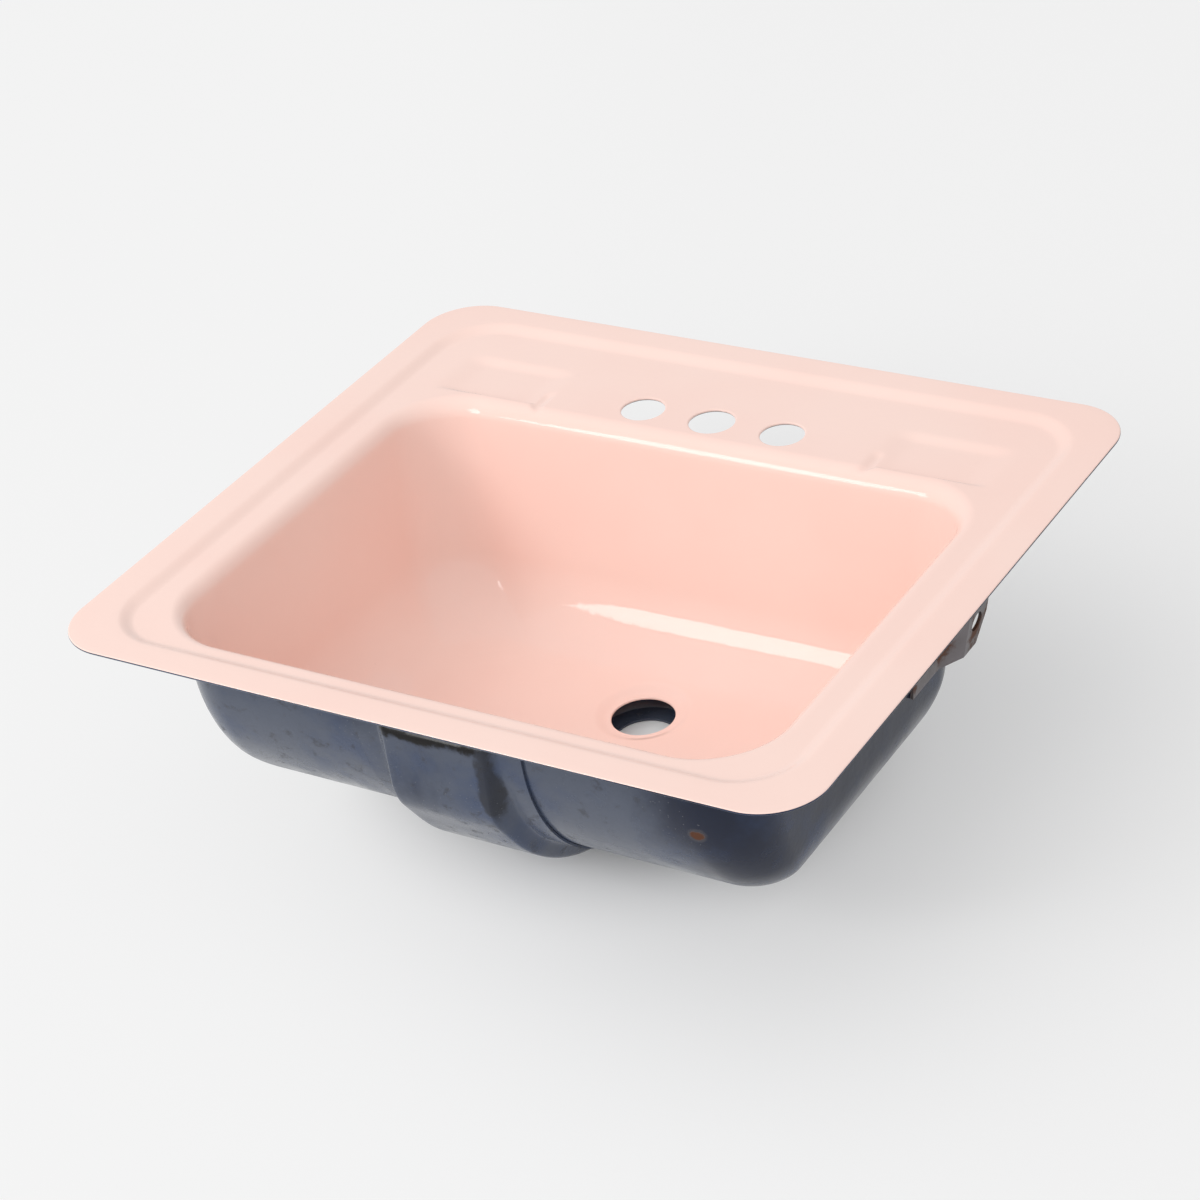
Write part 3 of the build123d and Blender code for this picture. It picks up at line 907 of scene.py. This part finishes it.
def enamel_material(finish, waves, specks):
    """Pink fired enamel: glossy, faintly mottled, with a few dark pin holes and a dulled film."""
    material, tree, shader, at = new_material("Pink enamel")
    mottle = spread(tree, noise(tree, at, 7.0, detail=3.0), 0.35, 0.65)
    base = blend(tree, mottle, finish.enamel, finish.enamel_pale)
    spots = group_node(tree, specks, at, scale=70.0, size=0.035, amount=0.42).outputs["Mask"]
    base = blend(tree, maths(tree, "MULTIPLY", spots, 0.35), base, (0.25, 0.14, 0.11))
    tree.links.new(base, shader.inputs["Base Color"])
    film = spread(tree, noise(tree, at, 22.0, detail=4.0, roughness=0.6), 0.3, 0.75, 0.03, 0.07)
    tree.links.new(film, shader.inputs["Roughness"])
    shader.inputs["Specular IOR Level"].default_value = 0.36
    ripple = group_node(tree, waves, at, wave_scale=16.0, peel_scale=150.0, peel_share=0.22)
    add_bump(tree, shader, ripple.outputs["Height"], 0.25, 0.0012)
    return material


def ground_material(finish, waves, specks, stain):
    """Dark blue ground coat: greyer and duller towards the left, plain dark blue at the right
    corner, with cloudy patches, pale dust, burnt drip marks over the casing and rust in chips.
    The dark right corner is painted shade of a corner turned from the light, mixed into the wear;
    the near-black band at the casing's top is partly painted shade under the rim."""
    material, tree, shader, at = new_material("Dark ground coat")
    across = node(tree, "ShaderNodeSeparateXYZ")
    tree.links.new(at, across.inputs[0])
    # Painted shade: the grey wear is raised on the left and taken away towards the right corner, so
    # the corner that turns from the light stays dark; the cloud noise is real wear.
    painted_corner_shade = spread(tree, across.outputs["X"], 0.190, 0.110, -0.34, 0.12)
    cloud = noise(tree, at, 8.0, detail=6.0, roughness=0.62, distortion=0.4)
    wear_and_corner_shade = spread(tree, maths(tree, "ADD", cloud, painted_corner_shade), 0.30, 0.66)
    base = blend(tree, wear_and_corner_shade, finish.ground, finish.ground_pale)
    blue = spread(tree, noise(tree, at, 15.0, detail=4.0, roughness=0.6), 0.44, 0.68, 0.0, 0.55)
    base = blend(tree, blue, base, finish.ground_blue)
    scuffs = noise(tree, at, 95.0, detail=5.0, roughness=0.7)
    scuffs = maths(tree, "MULTIPLY", spread(tree, scuffs, 0.56, 0.66, 0.0, 0.5), wear_and_corner_shade)
    base = blend(tree, scuffs, base, (0.034, 0.033, 0.038))
    # Near-black band across the casing's top just under the rim: burnt drip marks, and painted
    # shade in the gap under the rim's overhang.
    drips_and_rim_shade = group_node(
        tree, stain, at, middle=(-0.010, -0.195, 0.1435), radius=(0.040, 0.030, 0.0085),
        grain=70.0, ragged=1.7).outputs["Mask"]
    base = blend(tree, drips_and_rim_shade, base, (0.006, 0.005, 0.005))
    flow = group_node(
        tree, stain, at, middle=(0.034, -0.190, 0.118), radius=(0.007, 0.030, 0.034),
        grain=60.0, ragged=1.4).outputs["Mask"]
    base = blend(tree, maths(tree, "MULTIPLY", flow, 0.7), base, (0.010, 0.009, 0.010))
    dust = group_node(tree, specks, at, scale=330.0, size=0.13, amount=0.48).outputs["Mask"]
    base = blend(tree, maths(tree, "MULTIPLY", dust, 0.45), base, (0.22, 0.23, 0.25))
    big_chip = (0.1643, -0.187, 0.1103)
    halo = group_node(
        tree, stain, at, middle=big_chip, radius=(0.0062, 0.006, 0.0062),
        grain=300.0, ragged=0.5).outputs["Mask"]
    base = blend(tree, maths(tree, "MULTIPLY", halo, 0.25), base, (0.15, 0.13, 0.12))
    spot = group_node(
        tree, stain, at, middle=big_chip, radius=(0.0046, 0.006, 0.0036),
        grain=400.0, ragged=0.7).outputs["Mask"]
    chips = group_node(tree, specks, at, scale=26.0, size=0.05, amount=0.42).outputs["Mask"]
    rust = maths(tree, "MAXIMUM", chips, spot)
    base = blend(tree, rust, base, finish.rust)
    tree.links.new(base, shader.inputs["Base Color"])
    film = spread(tree, noise(tree, at, 30.0, detail=5.0, roughness=0.65), 0.3, 0.7, 0.12, 0.30)
    film = maths(tree, "ADD", film, maths(tree, "MULTIPLY", scuffs, 0.35))
    rough = maths(tree, "MAXIMUM", film, maths(tree, "MULTIPLY", rust, 0.9))
    tree.links.new(rough, shader.inputs["Roughness"])
    shader.inputs["Specular IOR Level"].default_value = 0.28
    ripple = group_node(tree, waves, at, wave_scale=30.0, peel_scale=260.0, peel_share=0.16)
    height = maths(tree, "SUBTRACT", ripple.outputs["Height"], maths(tree, "MULTIPLY", rust, 0.3))
    add_bump(tree, shader, height, 0.4, 0.0011)
    return material


def bracket_material(finish, waves):
    """Scaled strip steel with brown rust creeping in from noise patches."""
    material, tree, shader, at = new_material("Bracket steel")
    patches = spread(tree, noise(tree, at, 55.0, detail=6.0, roughness=0.65), 0.47, 0.64)
    grime = spread(tree, noise(tree, at, 20.0, detail=3.0), 0.35, 0.7)
    base = blend(tree, grime, finish.steel, (0.22, 0.20, 0.21))
    base = blend(tree, patches, base, finish.rust)
    tree.links.new(base, shader.inputs["Base Color"])
    metal = maths(tree, "SUBTRACT", 0.75, maths(tree, "MULTIPLY", patches, 0.75))
    tree.links.new(metal, shader.inputs["Metallic"])
    tree.links.new(spread(tree, patches, 0.0, 1.0, 0.42, 0.85), shader.inputs["Roughness"])
    ripple = group_node(tree, waves, at, wave_scale=90.0, peel_scale=700.0, peel_share=0.5)
    add_bump(tree, shader, ripple.outputs["Height"], 0.4, 0.0008)
    return material


def shared(kind, name, make):
    """The group or material of that name, made once."""
    return kind.get(name) or make()


def waves_of():
    """The group of the coats' waves."""
    return shared(bpy.data.node_groups, "Coat waves", coat_waves_group)


def specks_of():
    """The group of small spots."""
    return shared(bpy.data.node_groups, "Specks", specks_group)


def ground_of(finish):
    """The ground coat, which the pan and the casing share."""
    groups = (waves_of(), specks_of(), shared(bpy.data.node_groups, "Stain", stain_group))
    return shared(
        bpy.data.materials, "Dark ground coat", lambda: ground_material(finish, *groups))


class BASIN_OT_pan(bpy.types.Operator):
    """Builds the enamelled pan: its pink upper side and its dark underside"""
    bl_idname = "basin.pan"
    bl_label = "Pan"

    def execute(self, context):
        scene = context.scene
        sizes = (scene.basin_rim, scene.basin_bowl, scene.basin_dish)
        enamel = enamel_material(scene.basin_finish, waves_of(), specks_of())
        upper = place(pan_skin(*sizes, upper=True), enamel)
        lower = place(pan_skin(*sizes, upper=False), ground_of(scene.basin_finish))
        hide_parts("rim_and_ledge", "bowl")
        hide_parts("rim_and_ledge", "bowl")
        return {"FINISHED"}


class BASIN_OT_casing(bpy.types.Operator):
    """Builds the overflow casing that runs from the front wall to the outlet"""
    bl_idname = "basin.casing"
    bl_label = "Overflow casing"

    def execute(self, context):
        scene = context.scene
        mesh = casing_mesh(scene.basin_casing, scene.basin_rim, scene.basin_bowl)
        made = place(mesh, ground_of(scene.basin_finish))
        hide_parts("overflow_casing")
        return {"FINISHED"}


class BASIN_OT_brackets(bpy.types.Operator):
    """Gives the two side brackets their steel"""
    bl_idname = "basin.brackets"
    bl_label = "Side brackets"

    def execute(self, context):
        material = bracket_material(context.scene.basin_finish, waves_of())
        for name in ("bracket_right", "bracket_left"):
            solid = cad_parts[name]
            solid.data.materials.clear()
            solid.data.materials.append(material)
        return {"FINISHED"}


def area_light(name, stand, target, size, power):
    """A rectangular lamp that faces a point."""
    data = bpy.data.lights.new(name, "AREA")
    data.shape = "RECTANGLE"
    data.size, data.size_y = size
    data.energy = power
    lamp = bpy.data.objects.new(name, data)
    turn = (Vector(stand) - Vector(target)).normalized().to_track_quat("Z", "Y")
    lamp.matrix_world = Matrix.Translation(stand) @ turn.to_matrix().to_4x4()
    bpy.context.scene.collection.objects.link(lamp)


def fitted_camera(scene):
    """The photograph's camera, as its place and the directions to its right, down and ahead. It
    was fitted to the rim, the holes and the bowl."""
    data = bpy.data.cameras.new("Camera")
    data.sensor_width = 36.0
    data.lens = 97.688
    camera = bpy.data.objects.new("Camera", data)
    stand = (0.96702, -1.39727, 1.00360 + RIM_HEIGHT)
    right = (0.8542501652, 0.5060198505, -0.1191661286)
    down = (0.1842454971, -0.5090423834, -0.8407909661)
    ahead = (-0.4861175291, 0.6962899991, -0.5280814190)
    turn = Matrix((right, [-v for v in down], [-v for v in ahead])).transposed()
    camera.matrix_world = Matrix.Translation(stand) @ turn.to_4x4()
    scene.collection.objects.link(camera)
    scene.camera = camera


def looked_at(tree):
    """1 for camera, glossy and transmission rays, 0 for the rays that carry light."""
    rays = node(tree, "ShaderNodeLightPath").outputs
    mirrored = maths(tree, "MAXIMUM", rays["Is Glossy Ray"], rays["Is Transmission Ray"])
    return maths(tree, "MAXIMUM", rays["Is Camera Ray"], mirrored)


def studio_world(scene):
    """A dome that is brightest high up in front on the left and falls off to the other side.
    Looked at directly or in a reflection, it has the floor's plain colour instead."""
    world = bpy.data.worlds.new("Studio")
    scene.world = world
    world.use_nodes = True
    tree = world.node_tree
    towards = node(tree, "ShaderNodeVectorMath", operation="DOT_PRODUCT")
    tree.links.new(node(tree, "ShaderNodeTexCoord").outputs["Generated"], towards.inputs[0])
    towards.inputs[1].default_value = (-0.20, -0.62, 0.76)
    strength = spread(tree, towards.outputs["Value"], 0.0, 1.0, 0.49, 1.27)
    seen = looked_at(tree)
    plain = maths(tree, "MULTIPLY", seen, scene.basin_finish.floor[0])
    lit = maths(tree, "MULTIPLY", strength, maths(tree, "SUBTRACT", 1.0, seen))
    background = tree.nodes["Background"]
    background.inputs["Color"].default_value = (1.0, 1.0, 1.0, 1.0)
    tree.links.new(maths(tree, "ADD", plain, lit), background.inputs["Strength"])


def lighten_shadow(tree, shader, shade, at):
    """Mixes the floor's plain colour into its lit surface, where it is looked at directly, in a
    reflection or through glass, so that the shadow stays but is pale. The share is about half,
    more in front on the left, and dies away right under the basin. From below the floor is
    clear."""
    plain = node(tree, "ShaderNodeEmission")
    plain.inputs["Color"].default_value = (*shade, 1.0)
    far = node(tree, "ShaderNodeVectorMath", operation="LENGTH")
    tree.links.new(at, far.inputs[0])
    front_left = node(tree, "ShaderNodeVectorMath", operation="DOT_PRODUCT")
    tree.links.new(at, front_left.inputs[0])
    front_left.inputs[1].default_value = (-0.85, -0.5, 0.0)
    share = maths(
        tree, "MULTIPLY", spread(tree, far.outputs["Value"], 0.05, 0.20),
        spread(tree, front_left.outputs["Value"], -0.12, 0.28, 0.46, 0.85))
    mix = node(tree, "ShaderNodeMixShader")
    tree.links.new(maths(tree, "MULTIPLY", looked_at(tree), share), mix.inputs["Fac"])
    tree.links.new(shader.outputs["BSDF"], mix.inputs[1])
    tree.links.new(plain.outputs["Emission"], mix.inputs[2])
    clear = node(tree, "ShaderNodeMixShader")
    tree.links.new(node(tree, "ShaderNodeNewGeometry").outputs["Backfacing"], clear.inputs["Fac"])
    tree.links.new(mix.outputs["Shader"], clear.inputs[1])
    tree.links.new(node(tree, "ShaderNodeBsdfTransparent").outputs["BSDF"], clear.inputs[2])
    tree.links.new(clear.outputs["Shader"], tree.nodes["Material Output"].inputs["Surface"])


class BASIN_OT_stage(bpy.types.Operator):
    """Builds the pale floor, the lamps, the world and the camera"""
    bl_idname = "basin.stage"
    bl_label = "Stage"

    def execute(self, context):
        scene = context.scene
        half = 4.0
        level = -0.0004
        corners = [(x * half, y * half, level) for x, y in ((-1, -1), (1, -1), (1, 1), (-1, 1))]
        mesh = bpy.data.meshes.new("floor")
        mesh.from_pydata(corners, [], [(0, 1, 2, 3)])
        floor = bpy.data.objects.new("floor", mesh)
        scene.collection.objects.link(floor)
        material, tree, shader, at = new_material("Pale floor")
        shader.inputs["Base Color"].default_value = (*scene.basin_finish.floor, 1.0)
        shader.inputs["Roughness"].default_value = 0.9
        shader.inputs["Specular IOR Level"].default_value = 0.1
        lighten_shadow(tree, shader, scene.basin_finish.floor, at)
        mesh.materials.append(material)
        studio_world(scene)
        area_light("Key", (-0.95, -1.53, 1.15), (0.0, 0.0, 0.10), (0.52, 0.70), 8.0)
        fitted_camera(scene)
        scene.view_settings.view_transform = "Standard"
        return {"FINISHED"}


class BASIN_PT_panel(bpy.types.Panel):
    """Sidebar panel that lists the basin's steps"""
    bl_idname = "BASIN_PT_panel"
    bl_label = "Washbasin"
    bl_space_type = "VIEW_3D"
    bl_region_type = "UI"
    bl_category = "Washbasin"

    def draw(self, context):
        for name in ("basin.pan", "basin.casing", "basin.brackets", "basin.stage"):
            self.layout.operator(name)


GROUPS = {
    "basin_rim": RimSizes,
    "basin_bowl": BowlSizes,
    "basin_dish": DishSizes,
    "basin_casing": CasingSizes,
    "basin_finish": Finish,
}
OPERATORS = (BASIN_OT_pan, BASIN_OT_casing, BASIN_OT_brackets, BASIN_OT_stage)


def register():
    for name, group in GROUPS.items():
        bpy.utils.register_class(group)
        setattr(bpy.types.Scene, name, bpy.props.PointerProperty(type=group))
    for operator in OPERATORS:
        bpy.utils.register_class(operator)
    bpy.utils.register_class(BASIN_PT_panel)


def unregister():
    bpy.utils.unregister_class(BASIN_PT_panel)
    for operator in reversed(OPERATORS):
        bpy.utils.unregister_class(operator)
    for name, group in reversed(list(GROUPS.items())):
        delattr(bpy.types.Scene, name)
        bpy.utils.unregister_class(group)


def main():
    """Registers the add-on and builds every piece."""
    register()
    bpy.ops.basin.pan()
    bpy.ops.basin.casing()
    bpy.ops.basin.brackets()
    bpy.ops.basin.stage()


if __name__ == "__main__":
    main()
